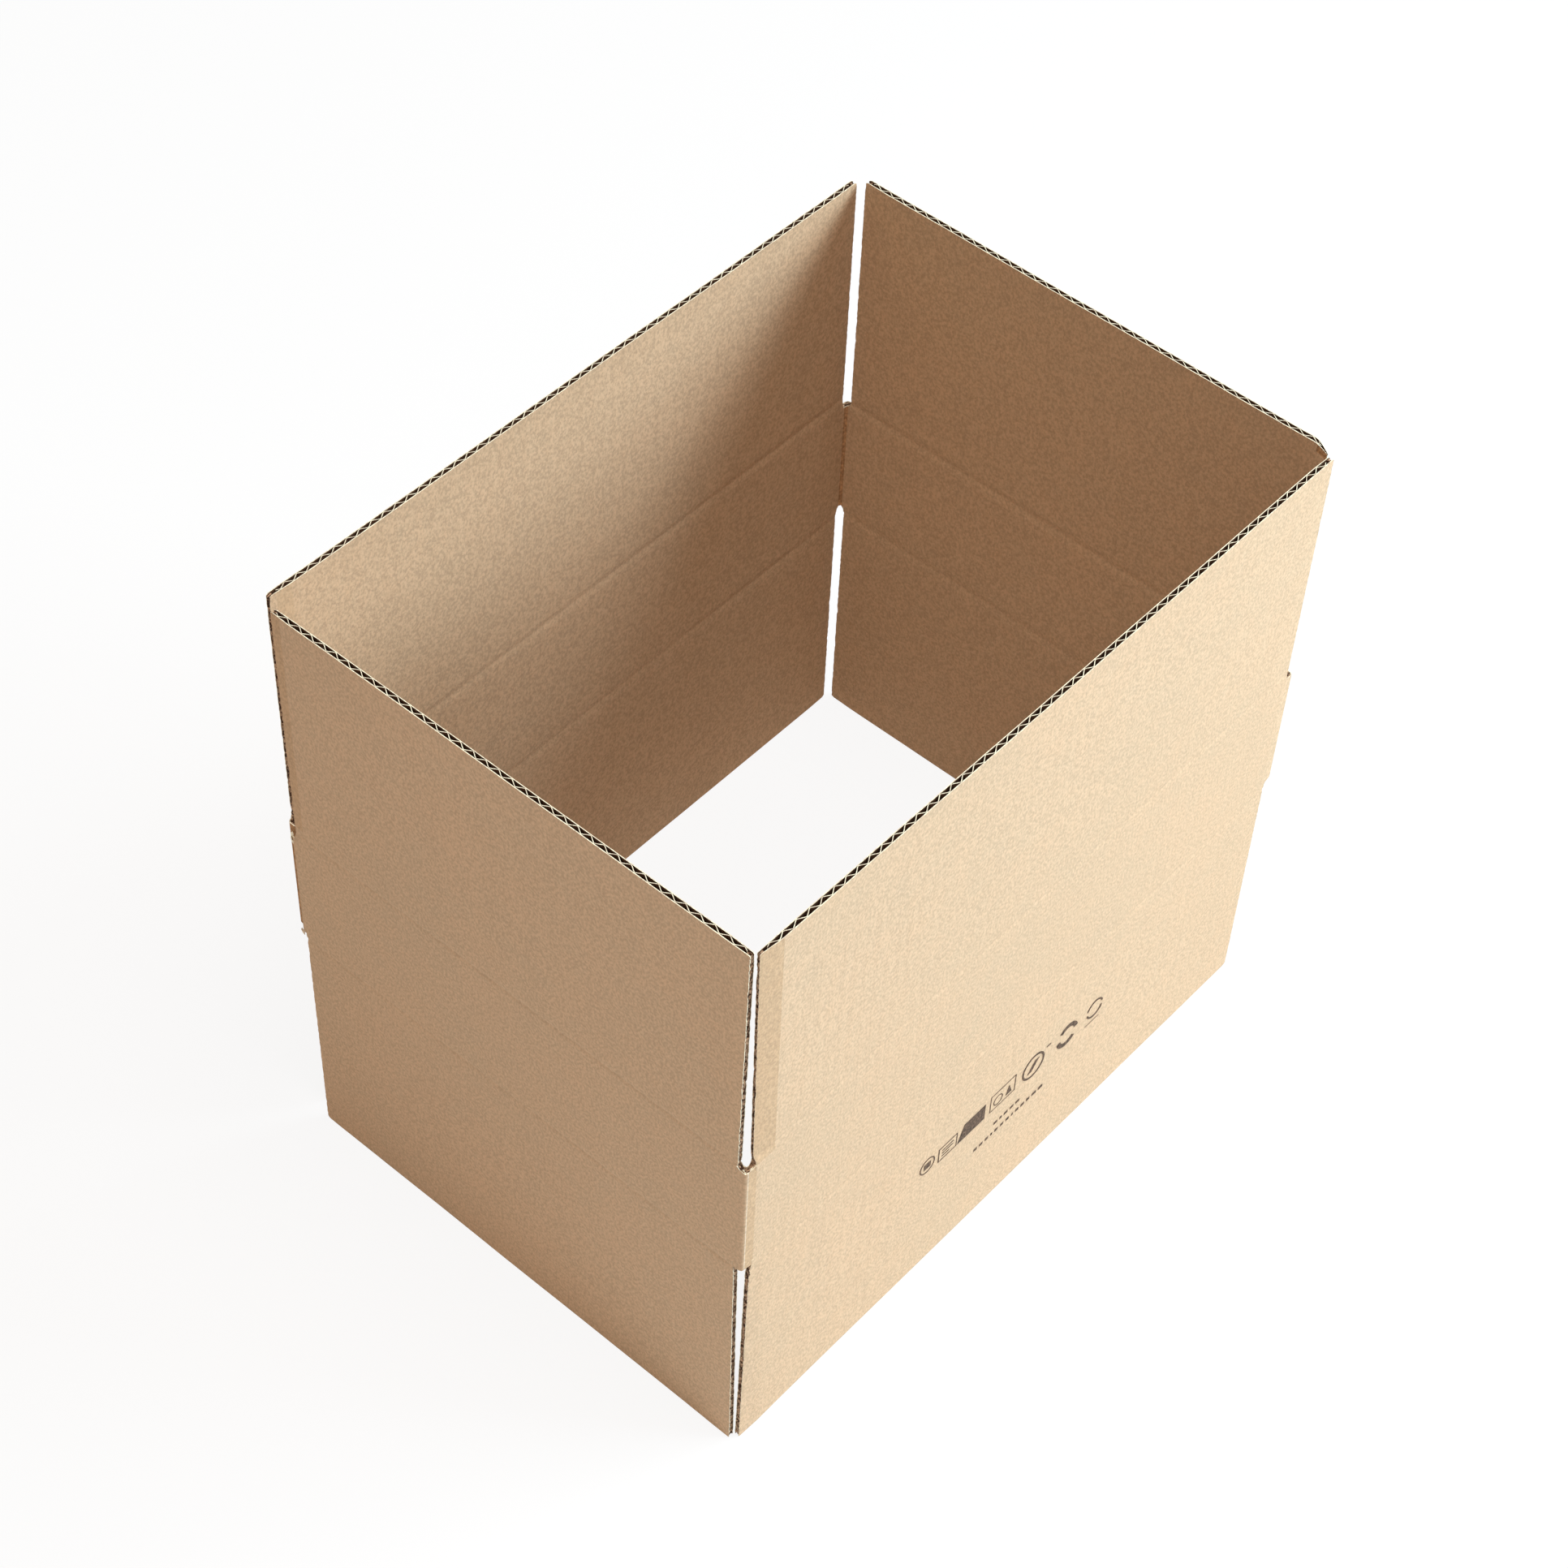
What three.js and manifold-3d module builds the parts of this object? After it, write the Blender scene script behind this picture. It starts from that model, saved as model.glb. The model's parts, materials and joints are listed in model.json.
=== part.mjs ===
// A single-wall corrugated shipping box, standing open as a tube with all eight flaps straight.
// Millimetres, +Z up, origin at the middle of the footprint. The long panels face front and back (-Y, +Y),
// the short panels face left and right (-X, +X). The maker's glued joint is at the back left corner.
import * as THREE from 'three';
import { mergeGeometries, mergeVertices } from 'three/addons/utils/BufferGeometryUtils.js';
import Module from 'manifold-3d';

const wasm = await Module();
wasm.setup();

// Size of the box
const boardThickness = 3;
const insideLength = 350;
const insideWidth = 250;
const bandHeight = 70;
const flapMeetingGap = 3;

// Clearances
const stackClearance = 0.3;
const creaseClearance = 0.15;
const slotClearance = 2.4;

// Folds, slots and the glued joint
const cornerRadius = 2;
const cornerSteps = 4;
const rawEdgeInset = 6.5;
const jointFlapInset = 8;
const tabWidth = 35;
const tabTaper = 8;
const tabScoreInset = 4.5;
const tabStub = 0.5;

// The fluted core of the board
const linerThickness = 0.4;
const flutePitch = 6.6;
const fluteCrestWidth = 0.7;
const mediumCrestDepth = 0.25;
const fluteSideMargin = 1.5;
const crushedLength = 8;

// Sizes that follow from those above
const outsideLength = insideLength + 2 * boardThickness;
const outsideWidth = insideWidth + 2 * boardThickness;
const halfLength = outsideLength / 2;
const halfWidth = outsideWidth / 2;
const slotInset = boardThickness + slotClearance;
const scoreStep = boardThickness + stackClearance;
const longFlapLength = (outsideWidth - flapMeetingGap) / 2;
const shortFlapLength = longFlapLength + scoreStep;
const lowerShortScore = shortFlapLength;
const upperShortScore = lowerShortScore + bandHeight;
const lowerLongScore = lowerShortScore - scoreStep;
const upperLongScore = upperShortScore + scoreStep;
const rawEdge = halfWidth - rawEdgeInset;

// Plain kraft board
const kraftBoard = { color: 0xc9a57c, roughness: 0.9, metalness: 0 };

// A closed solid from any closed three.js geometry
function solidFrom(geometry) {
  const bare = geometry.clone();
  bare.deleteAttribute('normal');
  bare.deleteAttribute('uv');
  const merged = mergeVertices(bare, 1e-4);
  return new wasm.Manifold(new wasm.Mesh({
    numProp: 3,
    vertProperties: new Float32Array(merged.attributes.position.array),
    triVerts: new Uint32Array(merged.index.array),
  }));
}

// A three.js mesh from a solid
function meshFrom(solid, name) {
  const raw = solid.getMesh();
  const geometry = new THREE.BufferGeometry();
  geometry.setAttribute('position', new THREE.BufferAttribute(new Float32Array(raw.vertProperties), 3));
  geometry.setIndex(new THREE.BufferAttribute(new Uint32Array(raw.triVerts), 1));
  const flat = geometry.toNonIndexed();
  flat.computeVertexNormals();
  const mesh = new THREE.Mesh(flat, new THREE.MeshStandardMaterial(kraftBoard));
  mesh.name = name;
  return mesh;
}

function outline(points) {
  return new THREE.Shape(points.map(([x, y]) => new THREE.Vector2(x, y)));
}

// A shape drawn in X and Y, raised from one height to another
function raise(shape, low, high) {
  const geometry = new THREE.ExtrudeGeometry(shape, { depth: high - low, bevelEnabled: false });
  geometry.translate(0, 0, low);
  return geometry;
}

// A section drawn in Y and Z, run along X
function runAlongX(points, low, high) {
  const geometry = new THREE.ExtrudeGeometry(outline(points), { depth: high - low, bevelEnabled: false });
  geometry.applyMatrix4(new THREE.Matrix4().set(
    0, 0, 1, low,
    1, 0, 0, 0,
    0, 1, 0, 0,
    0, 0, 0, 1,
  ));
  return geometry;
}

// A section drawn in X and Z, run along Y
function runAlongY(points, low, high) {
  const geometry = new THREE.ExtrudeGeometry(outline(points.map(([x, z]) => [z, x])), {
    depth: high - low,
    bevelEnabled: false,
  });
  geometry.applyMatrix4(new THREE.Matrix4().set(
    0, 1, 0, 0,
    0, 0, 1, low,
    1, 0, 0, 0,
    0, 0, 0, 1,
  ));
  return geometry;
}

// Points of a quarter-round corner, anticlockwise from a start angle
function quarterRound(centreX, centreY, startAngle) {
  const points = [];
  for (let i = 0; i <= cornerSteps; i += 1) {
    const angle = startAngle + (Math.PI / 2) * (i / cornerSteps);
    points.push([centreX + cornerRadius * Math.cos(angle), centreY + cornerRadius * Math.sin(angle)]);
  }
  return points;
}

// The sleeve: four panels folded round three scored corners and closed by a glued tab at the fourth.
// Its panels end in mitred creases, where the flaps fold.
function makeSleeve() {
  const left = -halfLength;
  const innerLeft = left + boardThickness;
  const tabInner = innerLeft + boardThickness;
  const innerRight = halfLength - boardThickness;
  const innerFront = -halfWidth + boardThickness;
  const innerBack = halfWidth - boardThickness;
  const stubEdge = rawEdge - tabStub;

  const plan = outline([
    ...quarterRound(left + cornerRadius, -halfWidth + cornerRadius, Math.PI),
    ...quarterRound(halfLength - cornerRadius, -halfWidth + cornerRadius, 1.5 * Math.PI),
    ...quarterRound(halfLength - cornerRadius, halfWidth - cornerRadius, 0),
    ...quarterRound(innerLeft + cornerRadius, halfWidth - cornerRadius, 0.5 * Math.PI),
    [innerLeft, rawEdge],
    [left, rawEdge],
  ]);
  plan.holes.push(outline([
    [innerLeft, innerFront],
    [innerLeft, stubEdge],
    [tabInner, stubEdge],
    [tabInner, innerBack],
    [innerRight, innerBack],
    [innerRight, innerFront],
  ]));
  let sleeve = solidFrom(raise(plan, lowerShortScore, upperShortScore));

  // Long panels run on past the short panels' scores by one board and a clearance
  const longEnd = halfLength - slotInset;
  const longSection = [
    [-halfWidth, lowerLongScore + creaseClearance],
    [innerFront, lowerLongScore + creaseClearance + boardThickness],
    [innerFront, upperLongScore - creaseClearance - boardThickness],
    [-halfWidth, upperLongScore - creaseClearance],
  ];
  sleeve = sleeve.add(solidFrom(runAlongX(longSection, -longEnd, longEnd)));
  const backSection = longSection.map(([y, z]) => [-y, z]).reverse();
  sleeve = sleeve.add(solidFrom(runAlongX(backSection, -longEnd, longEnd)));

  // Mitred creases of the short panels
  const creaseCut = (score, up, side) => {
    const section = [
      [-1, 1 - creaseClearance],
      [boardThickness, -boardThickness - creaseClearance],
      [boardThickness, 2],
      [-1, 2],
    ].map(([depth, rise]) => [side * (halfLength - depth), score + up * rise]);
    return side * up > 0 ? section.reverse() : section;
  };
  for (const up of [1, -1]) {
    const score = up > 0 ? upperShortScore : lowerShortScore;
    sleeve = sleeve.subtract(solidFrom(runAlongY(creaseCut(score, up, 1), innerFront, innerBack)));
    sleeve = sleeve.subtract(solidFrom(runAlongY(creaseCut(score, up, -1), innerFront, rawEdge + 0.2)));
  }

  // The glue tab, a tongue of the back panel stuck inside the left panel
  const tabLow = lowerShortScore + tabScoreInset;
  const tabHigh = upperShortScore - tabScoreInset;
  const tabEnd = halfWidth - tabWidth;
  const tab = runAlongX([
    [rawEdge, tabLow],
    [rawEdge, tabHigh],
    [tabEnd, tabHigh - tabTaper],
    [tabEnd, tabLow + tabTaper],
  ], innerLeft, tabInner);
  return sleeve.add(solidFrom(tab));
}

// A flap in its own frame: X along its score, Y from the outer liner (0) inwards, Z away from the score.
// The flutes run along Z. They are open at the cut edge and crushed shut beside the crease.
function makeFlap(startX, endX, flapLength) {
  const outerLiner = linerThickness;
  const innerLiner = boardThickness - linerThickness;
  const room = endX - startX - 2 * fluteSideMargin;
  const count = Math.floor(room / flutePitch);
  const firstFlute = (startX + endX - count * flutePitch) / 2;
  const halfCrest = fluteCrestWidth / 2;
  const channels = [];
  for (let i = 0; i < count; i += 1) {
    const x = firstFlute + i * flutePitch;
    const underInnerLiner = outline([
      [x + halfCrest, innerLiner],
      [x + flutePitch / 2, outerLiner + mediumCrestDepth],
      [x + flutePitch - halfCrest, innerLiner],
    ]);
    channels.push(raise(underInnerLiner, crushedLength, flapLength + 1));
    if (i < count - 1) {
      const underOuterLiner = outline([
        [x + flutePitch / 2 + halfCrest, outerLiner],
        [x + 1.5 * flutePitch - halfCrest, outerLiner],
        [x + flutePitch, innerLiner - mediumCrestDepth],
      ]);
      channels.push(raise(underOuterLiner, crushedLength, flapLength + 1));
    }
  }
  const board = solidFrom(runAlongX([
    [0, creaseClearance],
    [boardThickness, boardThickness + creaseClearance],
    [boardThickness, flapLength],
    [0, flapLength],
  ], startX, endX));
  return board.subtract(solidFrom(mergeGeometries(channels)));
}

const box = new THREE.Group();
box.name = 'corrugated_box';
box.add(meshFrom(makeSleeve(), 'sleeve'));

// Each flap hangs on its own score. The turn is about Z; the lower flaps are also turned over about Y.
function hangFlap(name, solid, x, y, z, turn, lower) {
  const flap = meshFrom(solid, name);
  flap.position.set(x, y, z);
  flap.rotation.set(0, lower ? Math.PI : 0, turn, 'ZYX');
  box.add(flap);
}

const longHalf = halfLength - slotInset;
const shortHalf = halfWidth - slotInset;
const longJointHalf = halfLength - jointFlapInset;
const shortJointHalf = halfWidth - jointFlapInset;
const quarter = Math.PI / 2;

const longFlap = makeFlap(-longHalf, longHalf, longFlapLength);
hangFlap('top_flap_front', longFlap, 0, -halfWidth, upperLongScore, 0, false);
hangFlap('top_flap_back', longFlap, 0, halfWidth, upperLongScore, 2 * quarter, false);
hangFlap('bottom_flap_front', longFlap, 0, -halfWidth, lowerLongScore, 0, true);
const lowerBackFlap = makeFlap(-longJointHalf, longHalf, longFlapLength);
hangFlap('bottom_flap_back', lowerBackFlap, 0, halfWidth, lowerLongScore, 2 * quarter, true);

const shortFlap = makeFlap(-shortHalf, shortHalf, shortFlapLength);
hangFlap('top_flap_right', shortFlap, halfLength, 0, upperShortScore, quarter, false);
hangFlap('bottom_flap_right', shortFlap, halfLength, 0, lowerShortScore, quarter, true);
const upperLeftFlap = makeFlap(-shortJointHalf, shortHalf, shortFlapLength);
hangFlap('top_flap_left', upperLeftFlap, -halfLength, 0, upperShortScore, -quarter, false);
const lowerLeftFlap = makeFlap(-shortHalf, shortJointHalf, shortFlapLength);
hangFlap('bottom_flap_left', lowerLeftFlap, -halfLength, 0, lowerShortScore, -quarter, true);

export default box;
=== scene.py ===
import json
import math

import bmesh
import bpy
from mathutils import Matrix, Vector, noise


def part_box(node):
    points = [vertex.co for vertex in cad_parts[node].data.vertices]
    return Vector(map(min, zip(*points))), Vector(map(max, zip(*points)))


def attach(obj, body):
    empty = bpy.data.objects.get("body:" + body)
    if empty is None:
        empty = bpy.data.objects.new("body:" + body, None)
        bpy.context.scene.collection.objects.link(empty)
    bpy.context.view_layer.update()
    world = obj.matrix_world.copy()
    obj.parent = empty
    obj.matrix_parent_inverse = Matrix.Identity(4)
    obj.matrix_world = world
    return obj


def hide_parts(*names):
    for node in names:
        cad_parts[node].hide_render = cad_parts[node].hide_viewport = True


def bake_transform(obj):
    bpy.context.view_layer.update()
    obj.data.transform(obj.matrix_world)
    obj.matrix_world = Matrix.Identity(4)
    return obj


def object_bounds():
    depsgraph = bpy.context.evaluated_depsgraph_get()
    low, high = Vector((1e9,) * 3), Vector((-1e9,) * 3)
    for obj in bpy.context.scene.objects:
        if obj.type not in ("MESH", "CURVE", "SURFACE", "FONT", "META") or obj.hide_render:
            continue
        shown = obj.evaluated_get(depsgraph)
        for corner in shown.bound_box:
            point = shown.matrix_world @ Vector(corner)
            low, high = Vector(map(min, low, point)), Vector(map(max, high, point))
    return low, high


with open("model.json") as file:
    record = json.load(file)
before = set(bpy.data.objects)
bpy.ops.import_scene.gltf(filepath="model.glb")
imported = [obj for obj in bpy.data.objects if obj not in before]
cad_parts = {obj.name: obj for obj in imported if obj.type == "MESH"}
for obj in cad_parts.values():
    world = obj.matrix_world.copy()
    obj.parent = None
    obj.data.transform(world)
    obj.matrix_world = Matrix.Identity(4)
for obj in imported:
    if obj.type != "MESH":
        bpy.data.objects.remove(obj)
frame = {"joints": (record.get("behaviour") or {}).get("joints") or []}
cad_low, cad_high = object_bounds()

# The sleeve
# Four walls in one strip of single-wall corrugated board: two kraft liners glued to a fluted medium, 3 mm
# thick in all. It is folded round three corners. At the fourth, the maker's joint, a tab on the back wall
# is folded in and glued behind the left wall, whose raw cut edge shows.
MM = 0.001
BOARD = 3.0
LINER = 0.42
FLUTE_PITCH = 6.6
# The drawn faces lie this far inside the solids' faces, which keeps them within the box's size
FACE = 0.05
# The box's half sizes, the scores' heights and the flaps' ends, in millimetres, as the frame has them
HALF_LENGTH = round(cad_high.x / MM, 3)
HALF_WIDTH = round(cad_high.y / MM, 3)
SCORES = {joint["child"]: joint["pos_m"][2] / MM for joint in frame["joints"]}
SHORT_LOW = SCORES["bottom_flap_left"]
SHORT_HIGH = SCORES["top_flap_left"]
LONG_LOW = SCORES["bottom_flap_front"]
LONG_HIGH = SCORES["top_flap_front"]
LONG_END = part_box("top_flap_front")[1].x / MM
SHORT_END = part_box("top_flap_right")[1].y / MM
# Each crease strip takes up this much of the board on both sides of its score
CREASE_REACH = 4.0
# How noise moves a material: the part of its range that is used, and the cells in a metre of each layer
NOISE_LOW = 0.3
NOISE_HIGH = 0.7
MOTTLE_SCALE = 820.0
FIBRE_SCALE = 2300.0
FORMATION_SCALE = 120.0
CLOUD_SCALE = 14.0
STREAK_SCALE = 95.0
PIT_SCALE = 520.0
# The flutes show through the liner as faint ribs that wander by this much, in metres
RIB_WANDER = 0.0004


def shader_math(tree, operation, *values):
    node = tree.nodes.new("ShaderNodeMath")
    node.operation = operation
    for socket, value in zip(node.inputs, values):
        if isinstance(value, (int, float)):
            socket.default_value = value
        else:
            tree.links.new(value, socket)
    return node.outputs[0]


def shader_noise(tree, vector, scale, detail=3.0, roughness=0.55):
    node = tree.nodes.new("ShaderNodeTexNoise")
    node.inputs["Scale"].default_value = scale
    node.inputs["Detail"].default_value = detail
    node.inputs["Roughness"].default_value = roughness
    tree.links.new(vector, node.inputs["Vector"])
    spread = tree.nodes.new("ShaderNodeMapRange")
    spread.inputs["From Min"].default_value = NOISE_LOW
    spread.inputs["From Max"].default_value = NOISE_HIGH
    spread.inputs["To Min"].default_value = -1.0
    tree.links.new(node.outputs["Fac"], spread.inputs["Value"])
    return spread.outputs["Result"]


def stretched(tree, vector, scale):
    node = tree.nodes.new("ShaderNodeMapping")
    node.inputs["Scale"].default_value = scale
    tree.links.new(vector, node.inputs["Vector"])
    return node.outputs[0]


def make_kraft_grain():
    """Fibre mottle, cloudy formation, upright ribs over the flutes, a mask of pits for painted shade, and
    the relief of them.
    """
    grain = bpy.data.node_groups.new("kraft_grain", "ShaderNodeTree")
    for label, value in (("Across X", 1.0), ("Ribs", 0.5)):
        socket = grain.interface.new_socket(label, in_out="INPUT", socket_type="NodeSocketFloat")
        socket.default_value = value
    for label in ("Tone", "Warmth", "Pits", "Relief"):
        grain.interface.new_socket(label, in_out="OUTPUT", socket_type="NodeSocketFloat")
    given = grain.nodes.new("NodeGroupInput").outputs
    result = grain.nodes.new("NodeGroupOutput").inputs
    place = grain.nodes.new("ShaderNodeTexCoord").outputs["Object"]
    axes = grain.nodes.new("ShaderNodeSeparateXYZ")
    grain.links.new(place, axes.inputs[0])
    mottle = shader_noise(grain, stretched(grain, place, (1.0, 1.0, 0.85)), MOTTLE_SCALE, 2.0, 0.5)
    fibre = shader_noise(grain, stretched(grain, place, (1.0, 1.0, 0.35)), FIBRE_SCALE, 2.0, 0.6)
    formation = shader_noise(grain, place, FORMATION_SCALE, 3.0, 0.6)
    cloud = shader_noise(grain, place, CLOUD_SCALE, 3.0, 0.5)
    streak = shader_noise(grain, stretched(grain, place, (1.0, 1.0, 0.05)), STREAK_SCALE, 2.0, 0.6)
    across = grain.nodes.new("ShaderNodeMix")
    grain.links.new(given["Across X"], across.inputs["Factor"])
    grain.links.new(axes.outputs["Y"], across.inputs["A"])
    grain.links.new(axes.outputs["X"], across.inputs["B"])
    wander = shader_math(grain, "MULTIPLY_ADD", cloud, RIB_WANDER, across.outputs["Result"])
    turn = shader_math(grain, "MULTIPLY", wander, 2 * math.pi / (FLUTE_PITCH * MM))
    ribs = shader_math(grain, "COSINE", turn)
    ribs = shader_math(grain, "MULTIPLY", ribs, given["Ribs"])
    washboard = shader_math(grain, "MULTIPLY_ADD", cloud, 0.9, 0.55)
    washboard.node.use_clamp = True
    ribs = shader_math(grain, "MULTIPLY", ribs, washboard)
    tone = shader_math(grain, "MULTIPLY", mottle, 1.25)
    for layer, share in ((fibre, 0.60), (formation, 0.20), (cloud, 0.16), (streak, 0.06), (ribs, 0.16)):
        tone = shader_math(grain, "MULTIPLY_ADD", layer, share, tone)
    grain.links.new(tone, result["Tone"])
    warmth = shader_math(grain, "MULTIPLY", cloud, 0.5)
    warmth = shader_math(grain, "MULTIPLY_ADD", formation, 0.5, warmth)
    grain.links.new(warmth, result["Warmth"])
    # The pits mark where the holes of a torn edge get painted shade
    holes = shader_noise(grain, place, PIT_SCALE, 2.0, 0.6)
    pits = shader_math(grain, "MULTIPLY_ADD", holes, 2.2, 0.75)
    pits.node.use_clamp = True
    grain.links.new(pits, result["Pits"])
    relief = shader_math(grain, "MULTIPLY_ADD", mottle, 0.3, ribs)
    grain.links.new(shader_math(grain, "MULTIPLY_ADD", streak, 0.2, relief), result["Relief"])
    return grain


kraft_grain = make_kraft_grain()
PAPER_SPECULAR = 0.22
BUMP_STRENGTH = 0.6
WARM_TINT = (1.0, 0.955, 0.93)


def kraft(name, colour, spread, ribs=0.0, across_x=1.0, relief_depth=0.12, roughness=0.88, pit_colour=None):
    """A paper surface. spread is how far the grain moves its colour, as a share of it, and across_x is 1
    for a face along X and 0 for one along Y."""
    material = bpy.data.materials.new(name)
    material.use_nodes = True
    tree = material.node_tree
    shader = tree.nodes["Principled BSDF"]
    shader.inputs["Roughness"].default_value = roughness
    shader.inputs["Specular IOR Level"].default_value = PAPER_SPECULAR
    grain = tree.nodes.new("ShaderNodeGroup")
    grain.node_tree = kraft_grain
    grain.inputs["Across X"].default_value = across_x
    grain.inputs["Ribs"].default_value = ribs

    def mixed(factor, first, second, blend_type="MIX"):
        node = tree.nodes.new("ShaderNodeMix")
        node.data_type = "RGBA"
        node.blend_type = blend_type
        tree.links.new(factor, node.inputs["Factor"])
        for socket, value in ((node.inputs[6], first), (node.inputs[7], second)):
            if isinstance(value, tuple):
                socket.default_value = (*value, 1)
            else:
                tree.links.new(value, socket)
        return node.outputs[2]

    dark = tuple(c * (1 - spread) for c in colour)
    pale = tuple(min(1.0, c * (1 + spread)) for c in colour)
    level = shader_math(tree, "MULTIPLY_ADD", grain.outputs["Tone"], 0.5, 0.5)
    paper = mixed(level, dark, pale)
    warm = shader_math(tree, "MULTIPLY_ADD", grain.outputs["Warmth"], 0.5, 0.5)
    paper = mixed(warm, paper, WARM_TINT, "MULTIPLY")
    # The pits are painted dark: painted shade in the holes of a torn edge
    if pit_colour:
        paper = mixed(grain.outputs["Pits"], pit_colour, paper)
    tree.links.new(paper, shader.inputs["Base Color"])
    bump = tree.nodes.new("ShaderNodeBump")
    bump.inputs["Strength"].default_value = BUMP_STRENGTH
    bump.inputs["Distance"].default_value = relief_depth * MM
    tree.links.new(grain.outputs["Relief"], bump.inputs["Height"])
    tree.links.new(bump.outputs["Normal"], shader.inputs["Normal"])
    return material


LINER_COLOUR = (0.576, 0.417, 0.272)
# The inner liner is the same kraft, drawn a little darker as painted shade inside the box
INNER_COLOUR = (0.545, 0.382, 0.241)
# The strips pressed in beside some folds and slots are painted a little darker: painted shade for their tilt
PRESSED_COLOUR = (0.535, 0.372, 0.228)
# Pale: a painted highlight along the front left fold, and real wear on torn flakes of liner
WORN_COLOUR = (0.66, 0.54, 0.40)
# Painted shade for the inner faces of the folds, the bent corner's inside and the maker's joint, whose fold
# is crushed as well
FOLD_COLOUR = (0.42, 0.24, 0.12)
EDGE_COLOUR = (0.91, 0.79, 0.61)
# The open flutes' walls are painted this dark: painted shade in the channels
FLUTE_COLOUR = (0.11, 0.055, 0.028)
TORN_COLOUR = (0.40, 0.27, 0.175)
# Painted shade in the pits of a torn edge
PIT_COLOUR = (0.055, 0.026, 0.014)
# The walls and flaps along X and those along Y, each with an outer and an inner liner
LONG_LINERS = (
    kraft("outer_liner_long", LINER_COLOUR, 0.13, 0.36, 1.0),
    kraft("inner_liner_long", INNER_COLOUR, 0.15, 0.34, 1.0),
)
SHORT_LINERS = (
    kraft("outer_liner_short", LINER_COLOUR, 0.13, 0.18, 0.0),
    kraft("inner_liner_short", INNER_COLOUR, 0.15, 0.26, 0.0),
)
BOARD_FINISHES = (
    kraft("cut_liner_edge", EDGE_COLOUR, 0.25, relief_depth=0.3, roughness=0.95),
    kraft("flute_wall", FLUTE_COLOUR, 0.3, relief_depth=0.2, roughness=0.95),
    kraft("torn_core", TORN_COLOUR, 0.5, relief_depth=0.5, roughness=0.95, pit_colour=PIT_COLOUR),
    kraft("pressed_liner", PRESSED_COLOUR, 0.12, 0.1, 1.0),
    kraft("worn_fold", WORN_COLOUR, 0.16, 0.0, 1.0, relief_depth=0.2),
    kraft("crushed_fold", FOLD_COLOUR, 0.3, 0.0, 1.0, relief_depth=0.3, roughness=0.92),
)


class Board:
    """Closed slabs of board, gathered into one object, with the kind of each face."""

    # Of these kinds, the dark fold, pressed and flute finishes are painted shade, and the pale worn one is a
    # painted highlight on folds and wear on torn flakes
    OUTER, INNER, EDGE, FLUTE, CORE, PRESSED, WORN, FOLD = range(8)

    def __init__(self, name, long_side):
        self.name = name
        self.materials = (*(LONG_LINERS if long_side else SHORT_LINERS), *BOARD_FINISHES)
        self.verts = []
        self.faces = []
        self.kinds = []

    def slab(self, near, far, kinds, near_kind=None, far_kind=None):
        """A slab between two like grids of points. kinds are for the near side, the far side and the rim.
        near_kind and far_kind give another kind for a face by its column and row, or None."""
        rows = len(near)
        columns = len(near[0])
        first = len(self.verts)
        for sheet in (near, far):
            for row in sheet:
                self.verts.extend(row)

        def corner(sheet, row, column):
            return first + (sheet * rows + row) * columns + column

        for sheet in (0, 1):
            for row in range(rows - 1):
                for column in range(columns - 1):
                    quad = [corner(sheet, row, column), corner(sheet, row, column + 1)]
                    quad += [corner(sheet, row + 1, column + 1), corner(sheet, row + 1, column)]
                    self.faces.append(quad if sheet == 0 else quad[::-1])
                    choose = far_kind if sheet else near_kind
                    special = choose(column, row) if choose else None
                    self.kinds.append(kinds[sheet] if special is None else special)
        rim = [(0, column) for column in range(columns)]
        rim += [(row, columns - 1) for row in range(1, rows)]
        rim += [(rows - 1, column) for column in range(columns - 2, -1, -1)]
        rim += [(row, 0) for row in range(rows - 2, 0, -1)]
        for here, there in zip(rim, rim[1:] + rim[:1]):
            self.faces.append([corner(0, *there), corner(0, *here), corner(1, *here), corner(1, *there)])
            self.kinds.append(kinds[2])

    def scrap(self, origin, across, up, points, thickness, kind):
        """A torn flake of liner. points are across and up from its origin, in order round it."""
        out = across.cross(up).normalized() * thickness
        first = len(self.verts)
        count = len(points)
        for shift in (Vector((0, 0, 0)), out):
            for a, b in points:
                self.verts.append((origin + across * a + up * b + shift) * MM)
        self.faces.append([first + number for number in range(count)])
        self.faces.append([first + count + number for number in reversed(range(count))])
        for number in range(count):
            after = (number + 1) % count
            self.faces.append([first + after, first + number, first + count + number, first + count + after])
        self.kinds += [kind, kind] + [self.EDGE] * count

    def finish(self):
        mesh = bpy.data.meshes.new(self.name)
        mesh.from_pydata(self.verts, [], self.faces)
        for material in self.materials:
            mesh.materials.append(material)
        mesh.polygons.foreach_set("material_index", self.kinds)
        work = bmesh.new()
        work.from_mesh(mesh)
        bmesh.ops.recalc_face_normals(work, faces=work.faces)
        work.to_mesh(mesh)
        work.free()
        piece = bpy.data.objects.new(self.name, mesh)
        bpy.context.scene.collection.objects.link(piece)
        return piece


def ragged(seed, along, pitch):
    """A smooth random number from -1 to 1 that changes every pitch millimetres."""
    return noise.noise(Vector((along / pitch, seed * 5.17, seed * 1.93)))


def ease(share):
    share = min(1.0, max(0.0, share))
    return share * share * (3 - 2 * share)


def steps(start, end, count):
    return [start + (end - start) * number / count for number in range(count + 1)]


# A fold's radii at the outer and the inner face, and the facets round it
CORNER_RADIUS = 1.6
INNER_RADIUS = 1.2
ARC_STEPS = 6
# A plan of a fold takes in this much of both walls
FOLD_RUN = 12
# The pressed strip of the long wall beside a fold, and the slope at its edge
FOLD_STRIP = 6.0
STRIP_EDGE = 2
# How deep the strip is pressed in, and the share of that where the slope starts
FOLD_SINK = 0.42
EDGE_SINK = 0.25
# Where the left wall's cut edge stands at the maker's joint
RAW_EDGE = HALF_WIDTH - 6.5


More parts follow.
